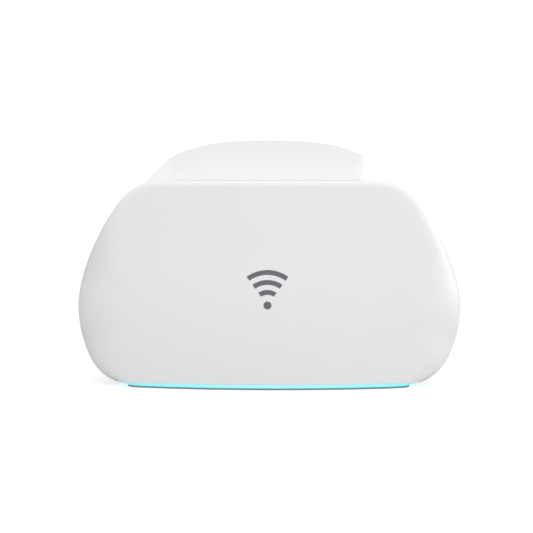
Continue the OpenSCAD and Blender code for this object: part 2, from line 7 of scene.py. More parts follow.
import bmesh
import bpy
import numpy as np
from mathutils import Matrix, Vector


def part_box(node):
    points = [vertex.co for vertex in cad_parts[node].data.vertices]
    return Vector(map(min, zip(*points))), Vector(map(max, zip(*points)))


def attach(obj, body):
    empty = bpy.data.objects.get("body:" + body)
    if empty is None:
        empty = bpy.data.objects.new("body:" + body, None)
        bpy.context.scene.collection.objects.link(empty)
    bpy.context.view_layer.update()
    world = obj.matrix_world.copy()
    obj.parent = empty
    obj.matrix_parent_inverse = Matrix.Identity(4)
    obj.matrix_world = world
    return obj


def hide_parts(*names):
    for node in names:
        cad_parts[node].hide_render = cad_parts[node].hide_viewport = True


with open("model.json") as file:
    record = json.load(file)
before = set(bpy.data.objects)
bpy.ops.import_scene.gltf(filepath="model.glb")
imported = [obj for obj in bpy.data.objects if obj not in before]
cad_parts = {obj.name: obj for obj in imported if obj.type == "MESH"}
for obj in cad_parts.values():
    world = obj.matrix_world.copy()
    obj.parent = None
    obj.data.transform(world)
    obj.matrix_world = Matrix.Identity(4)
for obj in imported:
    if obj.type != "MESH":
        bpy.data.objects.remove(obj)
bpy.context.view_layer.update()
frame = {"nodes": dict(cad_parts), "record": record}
MM = 0.001
scene = bpy.context.scene


# ---------------------------------------------------------------- sizes, from the frame

def cad(node):
    """Lowest and highest corner of a CAD node, in millimetres."""
    lo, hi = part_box(node)
    return lo / MM, hi / MM


cover_lo, cover_hi = cad("front_cover")
shell_hi = cad("rear_housing")[1]
vent_lo, vent_hi = cad("vent_panel")
port_lo, port_hi = cad("port_plate")
foot_lo, foot_hi = cad("foot_pad")
emblem_lo = cad("emblem")[0]

half_w = cover_hi.x
ledge_h = cover_hi.z
ring_top = cover_lo.z    # top of the light strip, where the shells stand
face_y = cover_lo.y
housing_w = shell_hi.x   # half the housing's width
dome_h = shell_hi.z
back_y = shell_hi.y
foot_t = foot_hi.z
wall = 2.2
face_r = 265             # radius of the front in plan
face_tuck = 5            # how far the front's foot tucks in
tuck_h = 55              # height below which it does
edge_depth = 0.6         # depth of the cover's rounded edge, as a share of its width
foot_r = 9               # width of that edge at the foot
side_r = 25              # and down the sides
ledge_r = 3              # and along the ledge
dome_y = -13             # plane of the dome's front
dome_flat = 47.5         # half the width of its flat part
flank_slope = 0.95       # slope in plan of the flanks beside it
side_x = 72              # where the flanks turn into the sides
side_slope = 0.3         # slope in plan of the parting line down the sides
foot_edge = 0.3          # rounding of the shells' bottom edge
part_gap = 0.3           # gap at the parting line
foot_side = 78.5         # half the shells' width at the foot, at the parting line
foot_corner = half_w - 20.6   # and in front, where the rounded edge ends
foot_back = 64           # and behind, at the back panel
foot_inset = 0.6         # how far the foot stands in from the shells
ring_w = 7               # width of the light strip's ring
ring_under = 5.5         # how far the strip slants in at the sides


# ---------------------------------------------------------------- outlines and surfaces

def bez(p, t):
    """Point at t along a cubic curve with the four control points p."""
    p = np.asarray(p, float)
    return ((1 - t) ** 3 * p[0] + 3 * (1 - t) ** 2 * t * p[1]
            + 3 * (1 - t) * t * t * p[2] + t ** 3 * p[3])


def chain(curves, n):
    """n points along each curve of a chain, and the chain's last point."""
    points = [bez(c, i / n) for c in curves for i in range(n)]
    return np.array(points + [np.asarray(curves[-1][3], float)])


def straight(a, b):
    """A straight line as a cubic curve."""
    a, b = np.asarray(a, float), np.asarray(b, float)
    return [a, a + (b - a) / 3, a + (b - a) * 2 / 3, b]


def mix(a, b, t):
    return a + (b - a) * t


def ease(t):
    u = np.clip(t, 0, 1)
    return u * u * (3 - 2 * u)


def ramp(x, x0, w):
    """0 before x0 and slope 1 after it, with a bend w wide."""
    return w * np.logaddexp(0, (x - x0) / w)


def face(x, z):
    """Front face of the cover."""
    curve = face_r - np.sqrt(face_r ** 2 - np.square(x))
    return face_y + curve + face_tuck * np.square(np.maximum(0, 1 - z / tuck_h))


def rim(x):
    """Plan line where the cover meets the housing, and where the dome's front stands."""
    a = np.abs(x)
    flank = flank_slope * ramp(a, dome_flat + 1.5, 1.2)
    return dome_y + flank - (flank_slope - side_slope) * ramp(a, side_x, 4)


widest_z = 40.5
shell_foot = ring_top + foot_edge
cover_shoulder = (78.5, 91.8)
cover_corner = (54, ledge_h)
COVER = [
    [(half_w - 20, shell_foot), (half_w - 6, 8.4), (half_w, 24), (half_w, widest_z)],
    [(half_w, widest_z), (half_w, 58), (87.8, 79.4), cover_shoulder],
    [cover_shoulder, (71.8, 101.6), (63.2, ledge_h), cover_corner],
    straight(cover_corner, (0, ledge_h))]

housing_shoulder = (76, 93)
dome_corner = (49.6, dome_h - 8.2)
HOUSING_SIDES = [
    [(79.1, shell_foot), (92.5, 8), (housing_w, 24), (housing_w, 41)],
    [(housing_w, 41), (housing_w, 57), (84.6, 80.8), housing_shoulder]]
HOUSING = HOUSING_SIDES + [
    [housing_shoulder, (70, 101.5), (56, dome_h - 11), dome_corner],
    [dome_corner, (38, dome_h - 2), (23, dome_h), (0, dome_h)]]
parting_corner = (56, ledge_h)
PARTING = HOUSING_SIDES + [
    [housing_shoulder, (70.5, 100.5), (65, ledge_h), parting_corner],
    straight(parting_corner, (0, ledge_h))]
panel_widest = (68, 32)
panel_shoulder = (52, 86)
panel_corner = (20, 99)
PANEL = [
    [(61, shell_foot), (66, 10), (panel_widest[0], 20), panel_widest],
    [panel_widest, (panel_widest[0], 52), (62, 74), panel_shoulder],
    [panel_shoulder, (46, 93.2), (34, 98.5), panel_corner],
    [panel_corner, (14, 99.2), (7, 99.2), (0, 99.2)]]


def normals(h):
    """Inward normals of a half outline, level at the foot and straight down at the top."""
    d = np.zeros_like(h)
    d[1:-1] = h[2:] - h[:-2]
    d[0], d[-1] = (0, 1), (-1, 0)
    d /= np.linalg.norm(d, axis=1)[:, None]
    return np.stack([-d[:, 1], d[:, 0]], 1)


def thick(h, t):
    """The wall's thickness as a step inwards; it runs level at the foot, where the wall is cut."""
    step = normals(h) * t
    slope = (h[1] - h[0]) / np.linalg.norm(h[1] - h[0])
    level = np.array([-t / max(slope[1], 0.4), 0])
    blend = ease((h[:, 1] - shell_foot) / 6)[:, None]
    return mix(level, step, blend)


def round_dirs(h):
    """Direction of the rounding: level at the foot, square to the outline 20 mm up."""
    d = mix(np.array([-1, 0.001]), normals(h), ease((h[:, 1] - ring_top) / 20)[:, None])
    return d / np.linalg.norm(d, axis=1)[:, None]


def edge_r(z):
    """Radius of the cover's edge: small at the top, wide down the sides, small at the foot."""
    return mix(mix(foot_r, side_r, ease((z - ring_top) / 22)), ledge_r, ease((z - 52) / 46))


def both(h):
    """An open outline of [x, y, z] from its right half: right foot, over the top, left foot."""
    h = np.asarray(h)
    left = h[-2::-1] * (-1, 1, 1)
    return np.concatenate([h, left])


def xyz(c, y):
    """Points of an upright outline c at the depths y."""
    return np.stack([c[:, 0], y, c[:, 1]], 1)


# ---------------------------------------------------------------- meshes

def mesh(name, bm, smooth=32):
    """Makes an object of a bmesh in millimetres. Edges sharper than smooth degrees stay sharp."""
    bmesh.ops.scale(bm, vec=(MM,) * 3, verts=bm.verts)
    data = bpy.data.meshes.new(name)
    bm.to_mesh(data)
    bm.free()
    data.shade_smooth()
    data.set_sharp_from_angle(angle=math.radians(smooth))
    o = bpy.data.objects.new(name, data)
    scene.collection.objects.link(o)
    return o


def solid(name, patches, smooth=32):
    """A closed mesh from grids of points that share their borders."""
    weld = 0.004
    bm = bmesh.new()
    for grid in patches:
        rows = [[bm.verts.new(p) for p in row] for row in grid]
        for a, b in zip(rows, rows[1:]):
            for i in range(len(a) - 1):
                bm.faces.new((a[i], a[i + 1], b[i + 1], b[i]))
    bmesh.ops.remove_doubles(bm, verts=bm.verts, dist=weld)
    bmesh.ops.dissolve_degenerate(bm, dist=weld / 2, edges=bm.edges)
    open_edges = [e for e in bm.edges if e.is_boundary]
    if open_edges:
        bmesh.ops.holes_fill(bm, edges=open_edges, sides=0)
    bmesh.ops.recalc_face_normals(bm, faces=bm.faces)
    return mesh(name, bm, smooth)


def coons(border, sides, top):
    """A grid inside an open outline: sides rows up each side, top columns across, a straight foot."""
    right = border[:sides + 1]
    over = border[sides:sides + top + 1]
    left = border[:-sides - 2:-1]
    u = np.linspace(0, 1, top + 1)[None, :, None]
    v = np.linspace(0, 1, sides + 1)[:, None, None]
    foot = mix(right[0], left[0], np.linspace(0, 1, top + 1)[:, None])
    ruled_v = mix(foot[None], over[None], v)
    ruled_u = mix(right[:, None], left[:, None], u)
    corners = mix(mix(right[0], left[0], u), mix(right[-1], left[-1], u), v)
    return ruled_v + ruled_u - corners


def foot_strip(outer, inner):
    """Rounded bottom edge of a wall between its outer and inner foot lines."""
    r = foot_edge
    outer, inner = np.asarray(outer), np.asarray(inner)
    across = inner - outer
    t = np.linalg.norm(across, axis=1)[:, None]
    across = across / t
    down = np.array([0, 0, -1.0])
    rows = [outer + across * r * (1 - math.cos(a)) + down * r * math.sin(a)
            for a in np.radians((0, 30, 60, 90))]
    rows += [inner - across * r * (1 - math.cos(a)) + down * r * math.sin(a)
             for a in np.radians((90, 45, 0))]
    return rows


def closing(outer, inner):
    """Edge of a wall between the last rings of its two skins, narrow band first."""
    r = 0.25
    across = (inner - outer) / np.linalg.norm(inner - outer, axis=1)[:, None]
    return [outer, outer + across * r, inner]


# ---------------------------------------------------------------- front cover

STEPS = 20
CORNER = STEPS * 5 // 2   # where the side of the outline becomes its top
FACE_TOP = STEPS * 3      # columns across that top


def cover_skin(inset):
    """Face grid and rings of the cover's skin; inset is 0 outside and the wall inside."""
    base = chain(COVER, STEPS)
    part = chain(PARTING, STEPS)
    o = base + thick(base, inset)
    p = part + thick(part, inset)
    d = round_dirs(base)
    r = np.maximum(edge_r(base[:, 1]) - inset, 0.8)[:, None]
    q = o + d * r
    border = both(np.stack([q[:, 0], 0 * q[:, 0], q[:, 1]], 1))
    grid = coons(border, CORNER, FACE_TOP)
    grid[..., 1] = face(grid[..., 0], grid[..., 2]) + inset
    rings = []
    for a in np.radians(np.linspace(90, 0, 11)):
        c = o + d * r * (1 - math.cos(a))
        back = edge_depth * r[:, 0] * (1 - math.sin(a))
        rings.append(both(xyz(c, face(c[:, 0], c[:, 1]) + inset + back)))
    y0 = face(o[:, 0], o[:, 1]) + inset + edge_depth * r[:, 0]
    y1 = rim(part[:, 0]) - part_gap
    for v in np.linspace(0, 1, 13)[1:]:
        rings.append(both(xyz(mix(o, p, v * v), mix(y0, y1, v))))
    return grid, rings


def skin_foot(grid, rings):
    """The line along the foot of a skin: down one side, along the face and up the other."""
    line = [r[-1] for r in rings[::-1]]
    line += list(grid[0][::-1])[1:] + [r[0] for r in rings[1:]]
    return line


def build_cover():
    grid, rings = cover_skin(0)
    in_grid, in_rings = cover_skin(wall)
    patches = [grid, rings, in_grid, in_rings, closing(rings[-1], in_rings[-1]),
               foot_strip(skin_foot(grid, rings), skin_foot(in_grid, in_rings))]
    return solid("front_cover_shell", patches)


# ---------------------------------------------------------------- rear housing

BACK_POWER = 2.4     # exponent of the back's rounding in plan; 2 is an ellipse
BACK_LIP = 3         # width of the flat lip round the back panel
PANEL_GAP = 0.3
FRONT_RINGS = 12     # rings between the housing's hidden edge and its outline
TONGUE = 3           # how much deeper that hidden edge runs in at the shoulders


def back_bend(a):
    """Shares of the way back and of the way in, at the angle a round the back's rounding."""
    return math.sin(a) ** (2 / BACK_POWER), 1 - math.cos(a) ** (2 / BACK_POWER)


def housing_skin(inset):
    """Rings of the housing's skin: the dome's front, then from the parting line round to the panel."""
    base = chain(HOUSING, STEPS)
    o = base + thick(base, inset)
    panel = chain(PANEL, STEPS)
    n = normals(panel)
    e = panel - n * BACK_LIP
    y0 = rim(base[:, 0])
    # The dome's front runs down to just below the ledge, and the side walls' edge runs inwards
    shoulder = ease((base[:, 1] - 94) / 6)
    low = base + thick(base, wall) + normals(base) * TONGUE * shoulder[:, None]
    sunk = np.stack([base[:, 0], np.full(len(base), ledge_h - wall)], 1)
    target = mix(low, sunk, ease((base[:, 1] - ledge_h + 1) / 3)[:, None])
    rings = []
    for s in np.linspace(0, 1, FRONT_RINGS + 1)[:-1]:
        c = mix(target, o, s)
        rings.append(both(xyz(c, mix(y0, rim(c[:, 0]), shoulder) + inset)))
    for a in np.radians(np.linspace(0, 90, 25)):
        v, t = back_bend(a)
        rings.append(both(xyz(mix(o, e, t), mix(y0 + inset, back_y - inset, v))))
    end = panel - n * PANEL_GAP
    rings.append(both(xyz(end, np.full(len(end), back_y - inset))))
    return rings


def build_housing():
    outer = housing_skin(0)
    inner = housing_skin(wall)
    feet = []
    for side in (0, -1):
        feet.append(foot_strip([r[side] for r in outer[FRONT_RINGS:]],
                               [r[side] for r in inner[FRONT_RINGS:]]))
    patches = [outer, inner, closing(outer[-1], inner[-1]), closing(outer[0], inner[0])] + feet
    return solid("rear_housing_shell", patches)


# ---------------------------------------------------------------- foot and light strip

def plan_normals(h):
    """Inward normals of a half outline in plan, level with Y at both ends."""
    d = np.zeros_like(h)
    d[1:-1] = h[2:] - h[:-2]
    d[0], d[-1] = (1, 0), (-1, 0)
    d /= np.linalg.norm(d, axis=1)[:, None]
    return np.stack([-d[:, 1], d[:, 0]], 1)


def plan_half():
    """Right half of the shells' outline at the foot, from the front middle to the back middle."""
    front = [(x, face(x, ring_top)) for x in np.arange(0, 57, 14)]
    depth = edge_depth * foot_r
    corner = []
    for a in np.radians((90, 36)):
        x = foot_corner - foot_r * (1 - math.cos(a))
        corner.append((x, face(x, ring_top) + depth * (1 - math.sin(a))))
    y0, y1 = face(foot_corner, ring_top) + depth, rim(foot_side) - part_gap
    side = [(mix(foot_corner, foot_side, v * v), mix(y0, y1, v)) for v in (1 / 3, 1)]
    back = []
    for a in np.radians(np.linspace(0, 90, 8)[1:]):
        v, t = back_bend(a)
        back.append((mix(foot_side, foot_back, t), mix(rim(foot_side), back_y, v)))
    middle = [(x, back_y) for x in (40, 20, 0)]
    return np.array(front + corner + side + back + middle)


def rounded(loop, times=4):
    """Cuts a closed outline's corners until it is smooth."""
    for _ in range(times):
        after = np.roll(loop, -1, axis=0)
        cut = np.stack([mix(loop, after, 0.25), mix(loop, after, 0.75)], 1)
        loop = cut.reshape(-1, loop.shape[1])
    return loop


def footprint(inset, slant=0):
    """The closed outline at the foot, moved inwards by inset, and by slant as well at the sides."""
    h = plan_half()
    n = plan_normals(h)
    h = h + n * (inset + slant * np.abs(n[:, :1]) ** 1.5)
    return rounded(np.concatenate([h, h[-2:0:-1] * (-1, 1)]))


def at(loop, z):
    return np.column_stack([loop, np.full(len(loop), z)])


def ring_solid(name, loops, smooth=32):
    """A closed ring whose cross-section is the loops in turn."""
    closed = [np.concatenate([l, l[:1]]) for l in loops]
    return solid(name, [closed + closed[:1]], smooth)


def build_light():
    """Rounded at the top, slanting in under the shells at the sides, and flat inside."""
    inset, edge = 0.15, 0.35
    upper, lower = footprint(inset), footprint(2 * inset, ring_under)
    loops = [at(footprint(inset + edge), ring_top), at(upper, ring_top - 0.2),
             at(mix(upper, lower, 0.45), mix(ring_top, foot_t, 0.5)),
             at(footprint(edge, ring_under), foot_t + 0.15),
             at(footprint(foot_inset, ring_under), foot_t),
             at(footprint(ring_w), foot_t), at(footprint(ring_w), ring_top)]
    return ring_solid("light_strip", loops, 50)


# ---------------------------------------------------------------- flat pieces with rounded edges

def plate(name, outlines, y0, y1, edge, plane="XZ"):
    """A plate between two planes, with holes: outlines are closed lists of 2-D points in mm."""
    curve = bpy.data.curves.new(name, "CURVE")
    curve.dimensions = "2D"
    curve.fill_mode = "BOTH"
    curve.extrude = ((y1 - y0) / 2 - edge) * MM
    curve.bevel_depth = edge * MM
    curve.offset = -edge * MM
    curve.bevel_resolution = 2
    for outline in outlines:
        s = curve.splines.new("POLY")
        s.points.add(len(outline) - 1)
        for point, (a, b) in zip(s.points, outline):
            point.co = (a * MM, b * MM, 0, 1)
        s.use_cyclic_u = True
    o = bpy.data.objects.new(name, curve)
    scene.collection.objects.link(o)
    data = bpy.data.meshes.new_from_object(o.evaluated_get(bpy.context.evaluated_depsgraph_get()))
    bpy.data.objects.remove(o)
    bm = bmesh.new()
    bm.from_mesh(data)
    bpy.data.meshes.remove(data)
    bmesh.ops.scale(bm, vec=(1 / MM,) * 3, verts=bm.verts)
    bmesh.ops.remove_doubles(bm, verts=bm.verts, dist=0.002)
    middle = (y0 + y1) / 2
    for v in bm.verts:
        a, b, c = v.co
        v.co = (a, middle - c, b) if plane == "XZ" else (a, b, middle + c)
    bmesh.ops.recalc_face_normals(bm, faces=bm.faces)
    return mesh(name, bm)


def arc(x, z, r, angles):
    return [(x + r * math.cos(a), z + r * math.sin(a)) for a in angles]


def circle(x, z, r, n=48):
    return arc(x, z, r, [2 * math.pi * i / n for i in range(n)])


def stadium(x, z0, z1, r, n=10):
    """An upright slot with round ends, centred on x."""
    half_turn = np.linspace(0, math.pi, n)
    return arc(x, z1, r, half_turn) + arc(x, z0, -r, half_turn)


def rounded_box(x0, x1, z0, z1, r=0.5, n=5):
    centres = [(x1 - r, z1 - r), (x0 + r, z1 - r), (x0 + r, z0 + r), (x1 - r, z0 + r)]
    return [point for i, (x, z) in enumerate(centres)
            for point in arc(x, z, r, np.radians(90 * i + 90 * np.arange(n) / (n - 1)))]


def mid(node):
    """Middle of a CAD node's box, in millimetres."""
    lo, hi = cad(node)
    return (lo + hi) / 2


jack_w, jack_h = 16, 13.4
dc_half, dc_top = 4.9, 11.3    # opening for the power inlet: half its width, and its top over the board
socket_gap = 0.3
power_hole, pair_hole, reset_hole = 4.6, 3, 0.85   # radii
vent_step, vent_r = 7, 1.1
vent_foot, vent_top = 40, 96
vent_droop = 0.012             # how the slots' tops fall off towards the sides
board_top = cad("wan_jack")[0].z
lan_x = [-20, -3, 14]
wan_x = mid("wan_jack").x
dc_x = mid("dc_jack").x
button_z = mid("power_button").z
power_x = mid("power_button").x
pair_x = mid("pair_button").x
reset_x = mid("reset_plunger").x


def band(outline, z0, z1):
    """The part of a closed outline between two heights. Both heights cut it straight across."""
    inside = [p for p in outline if z0 < p[1] < z1]
    right = [p for p in inside if p[0] >= 0]
    hs, zs = zip(*[(x, z) for x, z in outline if x >= 0])
    ends = []
    for z in (z0, z1):
        if min(zs) < z < max(zs):
            ends.append((float(np.interp(z, zs, hs)), z))
        else:
            ends.append(None)
    right = [e for e in ends[:1] if e] + right + [e for e in ends[1:] if e]
    return right + [(-x, z) for x, z in right[::-1] if x > 0]


def panel_outline():
    """The back panel's closed outline."""
    half = chain(PANEL, STEPS)
    half[0, 1] = ring_top + PANEL_GAP
    return [tuple(p) for p in half] + [(-x, z) for x, z in half[-2::-1]]


def build_vents():
    cuts = [band(panel_outline(), port_hi.z + PANEL_GAP, 200)]
    for column in range(-6, 7):
        x = column * vent_step
        cuts.append(stadium(x, vent_foot, vent_top - vent_droop * x * x, vent_r))
    return plate("vent_panel_plate", cuts, vent_lo.y, vent_hi.y, 0.25)


def build_ports():
    cuts = [band(panel_outline(), -1, port_hi.z)]
    low, high = board_top - socket_gap, board_top + jack_h + socket_gap
    half = jack_w / 2
    for x in lan_x + [wan_x]:
        cuts.append(rounded_box(x - half - socket_gap, x + half + socket_gap, low, high))
    cuts.append(rounded_box(dc_x - dc_half, dc_x + dc_half, low, board_top + dc_top, 2))
    cuts.append(circle(power_x, button_z, power_hole))
    cuts.append(circle(pair_x, button_z, pair_hole))
    cuts.append(circle(reset_x, button_z, reset_hole, 24))
    return plate("port_plate_panel", cuts, port_lo.y, port_hi.y, 0.25)


def build_foot():
    outline = [tuple(p) for p in footprint(foot_inset, ring_under)]
    return plate("foot_pad_rubber", [outline], foot_lo.z, foot_hi.z, 0.25, "XY")


# ---------------------------------------------------------------- mark on the front

def build_emblem():
    """Three arcs over a dot, laid on the curved face."""
    bm = bmesh.new()
    dot_r, arc_half = 2.0, 1.2
    dot_points, arc_points = 48, 36
    z0 = emblem_lo.z + dot_r
    proud, sunk, edge = 0.14, 0.12, 0.07

    def lay(x, z, lift):
        return (x, face(x, z) - lift, z)

    def sector(r0, r1, angle, columns):
        """A band from r0 to r1, as rings of its cross-section swept from -angle to angle."""
        profile = [(r0, -sunk), (r0, proud - edge), (r0 + edge, proud),
                   (r1 - edge, proud), (r1, proud - edge), (r1, -sunk)]
        rows = []
        for i in range(columns + 1):
            a = angle * (2 * i / columns - 1)
            rows.append([bm.verts.new(lay(r * math.sin(a), z0 + r * math.cos(a), h))
                         for r, h in profile])
        for a, b in zip(rows, rows[1:]):
            for j in range(len(profile)):
                k = (j + 1) % len(profile)
                bm.faces.new((a[j], a[k], b[k], b[j]))
        bm.faces.new(rows[0])
        bm.faces.new(rows[-1])

    for r in (6.6, 11.6, 16.6):
        sector(r - arc_half, r + arc_half, math.radians(36), arc_points)
    rings = [(dot_r, -sunk), (dot_r, proud - edge), (dot_r - edge, proud)]
    rows = [[bm.verts.new(lay(r * math.cos(a), z0 + r * math.sin(a), h))
             for a in np.linspace(0, 2 * math.pi, dot_points, endpoint=False)] for r, h in rings]
    for a, b in zip(rows, rows[1:]):
        for j in range(dot_points):
            k = (j + 1) % dot_points
            bm.faces.new((a[j], a[k], b[k], b[j]))
    bm.faces.new(rows[0])
    bm.faces.new(rows[-1])
    bmesh.ops.recalc_face_normals(bm, faces=bm.faces)
    return mesh("front_mark", bm)


# ---------------------------------------------------------------- pieces kept from the CAD

def refined(node, width, segments=2, angle=40):
    """A copy of a CAD node's mesh with its edges rounded, width millimetres wide."""
    source = frame["nodes"][node]
    bm = bmesh.new()
    bm.from_mesh(source.data)
    bmesh.ops.remove_doubles(bm, verts=bm.verts, dist=1e-6)
    bmesh.ops.dissolve_limit(bm, angle_limit=math.radians(1), verts=bm.verts, edges=bm.edges)
    bmesh.ops.scale(bm, vec=(1 / MM,) * 3, verts=bm.verts)
    o = mesh(node + "_piece", bm, angle)
    m = o.modifiers.new("edges", "BEVEL")
    m.width = width * MM
    m.segments = segments
    m.limit_method = "ANGLE"
    m.angle_limit = math.radians(angle)
    m.harden_normals = True
    return o


# ---------------------------------------------------------------- materials

def material(name):
    m = bpy.data.materials.new(name)
    m.use_nodes = True
    tree = m.node_tree
    return m, tree.nodes, tree.links, tree.nodes["Principled BSDF"]


def noise(nodes, links, scale, detail=2):
    t = nodes.new("ShaderNodeTexCoord")
    n = nodes.new("ShaderNodeTexNoise")
    n.inputs["Scale"].default_value = scale
    n.inputs["Detail"].default_value = detail
    links.new(t.outputs["Object"], n.inputs["Vector"])
    return n


def vary(nodes, links, source, low, high):
    """Maps a texture's 0.3 to 0.7 to low to high; numbers or colours."""
    r = nodes.new("ShaderNodeMapRange")
    r.inputs["From Min"].default_value = 0.3
    r.inputs["From Max"].default_value = 0.7
    links.new(source, r.inputs["Value"])
    if isinstance(low, (int, float)):
        r.inputs["To Min"].default_value = low
        r.inputs["To Max"].default_value = high
        return r.outputs["Result"]
    m = nodes.new("ShaderNodeMix")
    m.data_type = "RGBA"
    m.inputs["A"].default_value = (*low, 1)
    m.inputs["B"].default_value = (*high, 1)
    links.new(r.outputs["Result"], m.inputs["Factor"])
    return m.outputs["Result"]


def bump(nodes, links, source, shader, strength, distance):
    b = nodes.new("ShaderNodeBump")
    b.inputs["Strength"].default_value = strength
    b.inputs["Distance"].default_value = distance
    links.new(source, b.inputs["Height"])
    links.new(b.outputs["Normal"], shader.inputs["Normal"])


def plastic(name, color, rough=0.4, grain=1800, depth=0.00002, tint=0.03, coat=0.0):
    """Moulded plastic: a fine spark-eroded grain, and slight drift in colour and gloss."""
    m, nodes, links, s = material(name)
    drift = noise(nodes, links, 35).outputs["Fac"]
    low = tuple(c * (1 - tint) for c in color)
    links.new(vary(nodes, links, drift, low, color), s.inputs["Base Color"])
    links.new(vary(nodes, links, drift, rough * 0.93, rough * 1.07), s.inputs["Roughness"])
    fine = noise(nodes, links, grain, 3)
    bump(nodes, links, fine.outputs["Fac"], s, 0.25, depth)
    s.inputs["Coat Weight"].default_value = coat
    s.inputs["Coat Roughness"].default_value = 0.15
    return m


def metal(name, color, rough=0.3, stretch=(1, 1, 1), grain=900):
    """Metal with fine lines along the axis that stretch shrinks."""
    m, nodes, links, s = material(name)
    t = nodes.new("ShaderNodeTexCoord")
    mapping = nodes.new("ShaderNodeMapping")
    mapping.inputs["Scale"].default_value = stretch
    links.new(t.outputs["Object"], mapping.inputs["Vector"])
    n = nodes.new("ShaderNodeTexNoise")
    n.inputs["Scale"].default_value = grain
    n.inputs["Detail"].default_value = 3
    links.new(mapping.outputs["Vector"], n.inputs["Vector"])
    dull = tuple(c * 0.85 for c in color)
    links.new(vary(nodes, links, n.outputs["Fac"], dull, color), s.inputs["Base Color"])
    links.new(vary(nodes, links, n.outputs["Fac"], rough * 0.8, rough * 1.2), s.inputs["Roughness"])
    bump(nodes, links, n.outputs["Fac"], s, 0.2, 0.00001)
    s.inputs["Metallic"].default_value = 1
    return m


def rubber(name, color):
    return plastic(name, color, rough=0.75, grain=1100, depth=0.00006, tint=0.15)


def light_plastic():
    """Frosted strip lit from inside: bright along the front, dying away round the corners."""
    m, nodes, links, s = material("light_plastic")
    t = nodes.new("ShaderNodeTexCoord")
    axes = nodes.new("ShaderNodeSeparateXYZ")
    links.new(t.outputs["Object"], axes.inputs["Vector"])
    fade = nodes.new("ShaderNodeMapRange")
    fade.interpolation_type = "SMOOTHSTEP"
    fade.inputs["From Min"].default_value = -0.020
    fade.inputs["From Max"].default_value = -0.004
    fade.inputs["To Min"].default_value = 1.0
    fade.inputs["To Max"].default_value = 0.06
    links.new(axes.outputs["Y"], fade.inputs["Value"])
    frost = noise(nodes, links, 120)
    flow = nodes.new("ShaderNodeMath")
    flow.operation = "MULTIPLY"
    links.new(fade.outputs["Result"], flow.inputs[0])
    links.new(vary(nodes, links, frost.outputs["Fac"], 0.97, 1.03), flow.inputs[1])
    links.new(flow.outputs["Value"], s.inputs["Emission Strength"])
    s.inputs["Emission Color"].default_value = (0.15, 0.5, 0.55, 1)
    s.inputs["Base Color"].default_value = (0.3, 0.62, 0.66, 1)
    s.inputs["Roughness"].default_value = 0.45
    return m


def board(name, color, trace):
    """Solder mask over copper tracks, drawn as fine bricks."""
    m, nodes, links, s = material(name)
    t = nodes.new("ShaderNodeTexCoord")
    b = nodes.new("ShaderNodeTexBrick")
    b.inputs["Scale"].default_value = 260
    b.inputs["Mortar Size"].default_value = 0.012
    b.inputs["Color1"].default_value = (*color, 1)
    b.inputs["Color2"].default_value = (*[c * 0.9 for c in color], 1)
    b.inputs["Mortar"].default_value = (*trace, 1)
    links.new(t.outputs["Object"], b.inputs["Vector"])
    links.new(b.outputs["Color"], s.inputs["Base Color"])
    bump(nodes, links, b.outputs["Fac"], s, 0.2, 0.00003)
    s.inputs["Roughness"].default_value = 0.3
    return m


record_color = {m["slot"]: tuple(m["base_color"][:3]) for m in frame["record"]["materials"]}


def c(slot):
    """A material slot's colour in the record."""
    return record_color[slot]


MATERIALS = {
    "white_plastic": plastic("white_plastic", c("white_plastic"), 0.42, 1500, 0.00001, 0.006),
    "panel_plastic": plastic("panel_plastic", c("panel_plastic"), 0.5, 900, 0.00004, 0.02),
    "dark_plastic": plastic("dark_plastic", c("dark_plastic"), 0.5),
    "light_plastic": light_plastic(),
    "foot_rubber": rubber("foot_rubber", c("foot_rubber")),
    "emblem_grey": plastic("emblem_grey", c("emblem_grey"), 0.35, 2500, 0.000005, 0.02),
    "board_green": board("board_green", c("board_green"), (0.05, 0.22, 0.1)),
    "board_white": board("board_white", c("board_white"), (0.6, 0.6, 0.58)),
    "led_lens": plastic("led_lens", c("led_lens"), 0.2),
    "shield_steel": metal("shield_steel", c("shield_steel"), 0.35, (1, 0.05, 1)),
    "pad_blue": rubber("pad_blue", c("pad_blue")),
    "sink_aluminium": metal("sink_aluminium", c("sink_aluminium"), 0.38, (1, 0.05, 1)),
    "chip_black": plastic("chip_black", c("chip_black"), 0.55, 2500, 0.00003, 0.2),
    "capacitor_dark": plastic("capacitor_dark", c("capacitor_dark"), 0.3, 600),
    "inductor_grey": plastic("inductor_grey", c("inductor_grey"), 0.6, 1500, 0.00005, 0.3),
    "jack_blue": plastic("jack_blue", c("jack_blue"), 0.35),
    "jack_yellow": plastic("jack_yellow", c("jack_yellow"), 0.35),
    "contact_gold": metal("contact_gold", c("contact_gold"), 0.22, (1, 0.1, 1), 2000),
    "contact_nickel": metal("contact_nickel", c("contact_nickel"), 0.2, (1, 0.1, 1), 2000),
    "led_green": plastic("led_green", c("led_green"), 0.15, coat=0.5),
    "plunger_white": plastic("plunger_white", c("plunger_white"), 0.4),
    "button_dark": plastic("button_dark", c("button_dark"), 0.4, 1500, 0.00003, 0.1),
    "frame_grey": plastic("frame_grey", c("frame_grey"), 0.5),
    "antenna_board": board("antenna_board", c("antenna_board"), (0.35, 0.22, 0.08)),
    "cable_black": rubber("cable_black", c("cable_black")),
    "screw_steel": metal("screw_steel", c("screw_steel"), 0.3, (1, 1, 0.05), 1200),
}


# ---------------------------------------------------------------- the assembly

slot_of = {s["node"]: s["material_slot"] for s in frame["record"]["subparts"]}
body_of = {n: b for b, members in frame["record"]["behaviour"]["bodies"].items() for n in members}


def place(piece, node):
    """A piece that stands for a CAD node: it rides on the node's body and takes its material."""
    slot = slot_of[node]
    piece.data.materials.clear()
    piece.data.materials.append(MATERIALS[slot])
    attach(piece, body_of[node])
    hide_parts(node)
    return piece


